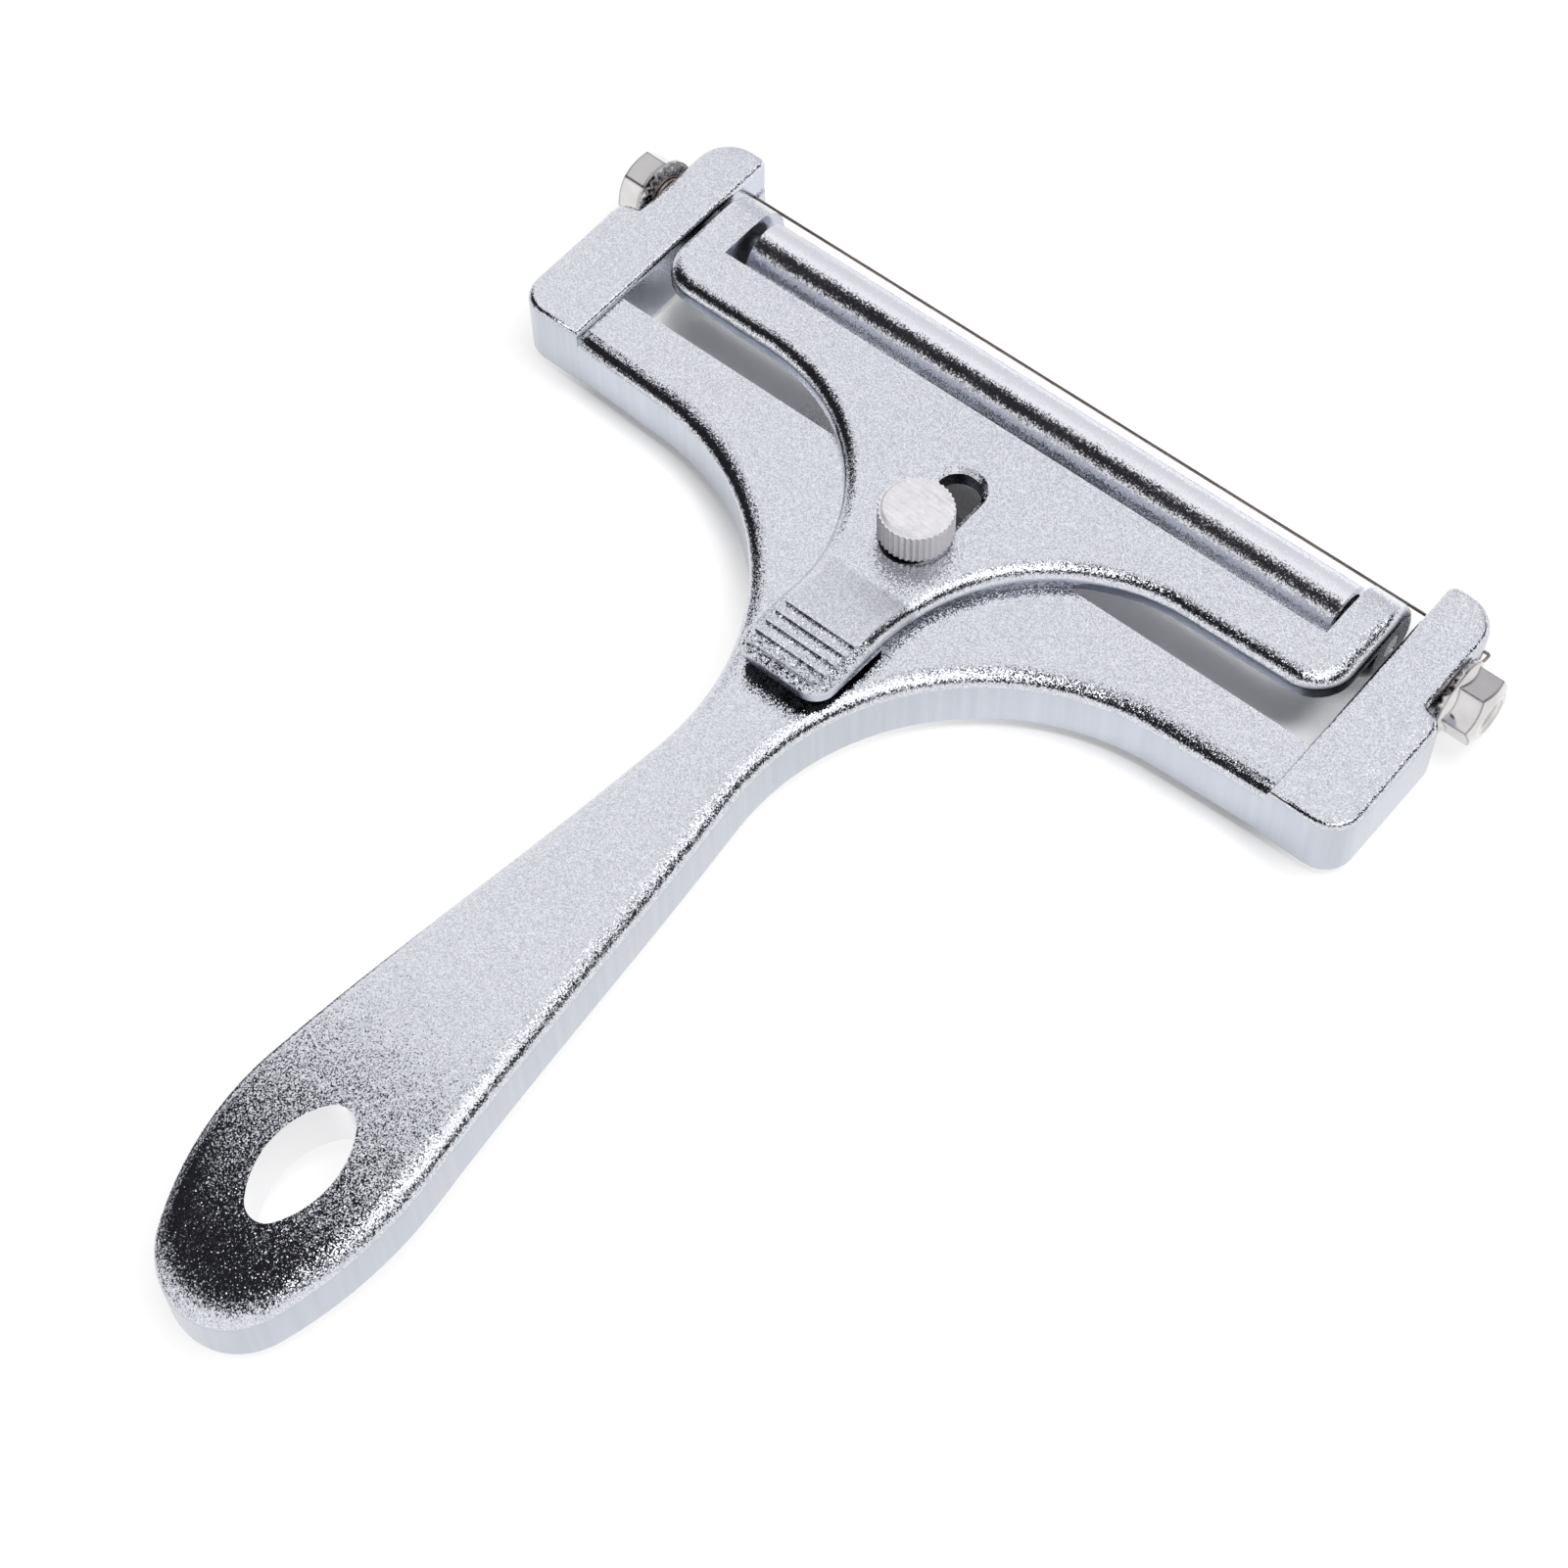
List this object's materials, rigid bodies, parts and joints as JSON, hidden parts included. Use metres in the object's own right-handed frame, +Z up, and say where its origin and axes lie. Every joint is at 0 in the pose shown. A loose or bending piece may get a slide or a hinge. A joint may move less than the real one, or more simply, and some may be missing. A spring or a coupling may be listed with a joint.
{
  "type": "wire cheese slicer",
  "caption": "Handheld wire cheese slicer: cast handle with a forked head, taut cutting wire and a sliding roller carriage locked by a thumb screw.",
  "frame": {"origin": "on the flat underside of the head, on the middle plane, level with the rear edge of the two end arms", "axes": "+X along the cutting wire to the right with the handle towards the user, +Y from the handle to the wire, +Z up from the underside"},
  "size_m": [0.135, 0.1648, 0.0207],
  "materials": {
    "casting": "satin, fine speckled grain",
    "polished": "polished",
    "turned": "turned and knurled",
    "stainless": "plain stainless",
    "wire": "drawn wire",
    "bush": "moulded"
  },
  "bodies": {
    "frame": {"frame": "casting", "cutting_wire": "wire"},
    "carriage": {"carriage": "casting", "roller_axle": "stainless"},
    "roller": {"roller_tube": "polished", "roller_bush_left": "bush", "roller_bush_right": "bush"},
    "thumb_screw": {"thumb_screw": "turned"},
    "tension_bolt_left": {"tension_bolt_left": "stainless"},
    "tension_bolt_right": {"tension_bolt_right": "stainless"}
  },
  "joints": [
    {"name": "carriage_slide", "type": "slide", "parent": "frame", "child": "carriage", "axis": [0, 1, 0], "range_m": [-0.0084, 0.0014]},
    {"name": "roller_spin", "type": "hinge", "parent": "carriage", "child": "roller", "pos_m": [0, 0.0281, 0.0065], "axis": [1, 0, 0], "continuous": true},
    {"name": "thumb_screw_turn", "type": "hinge", "parent": "frame", "child": "thumb_screw", "pos_m": [0, 0.0021, 0.012], "axis": [0, 0, 1], "range_deg": [0, 360]},
    {"name": "tension_bolt_left_turn", "type": "hinge", "parent": "frame", "child": "tension_bolt_left", "pos_m": [-0.0625, 0.027, 0.0067], "axis": [-1, 0, 0], "range_deg": [0, 360]},
    {"name": "tension_bolt_right_turn", "type": "hinge", "parent": "frame", "child": "tension_bolt_right", "pos_m": [0.0625, 0.027, 0.0067], "axis": [1, 0, 0], "range_deg": [0, 360]}
  ]
}
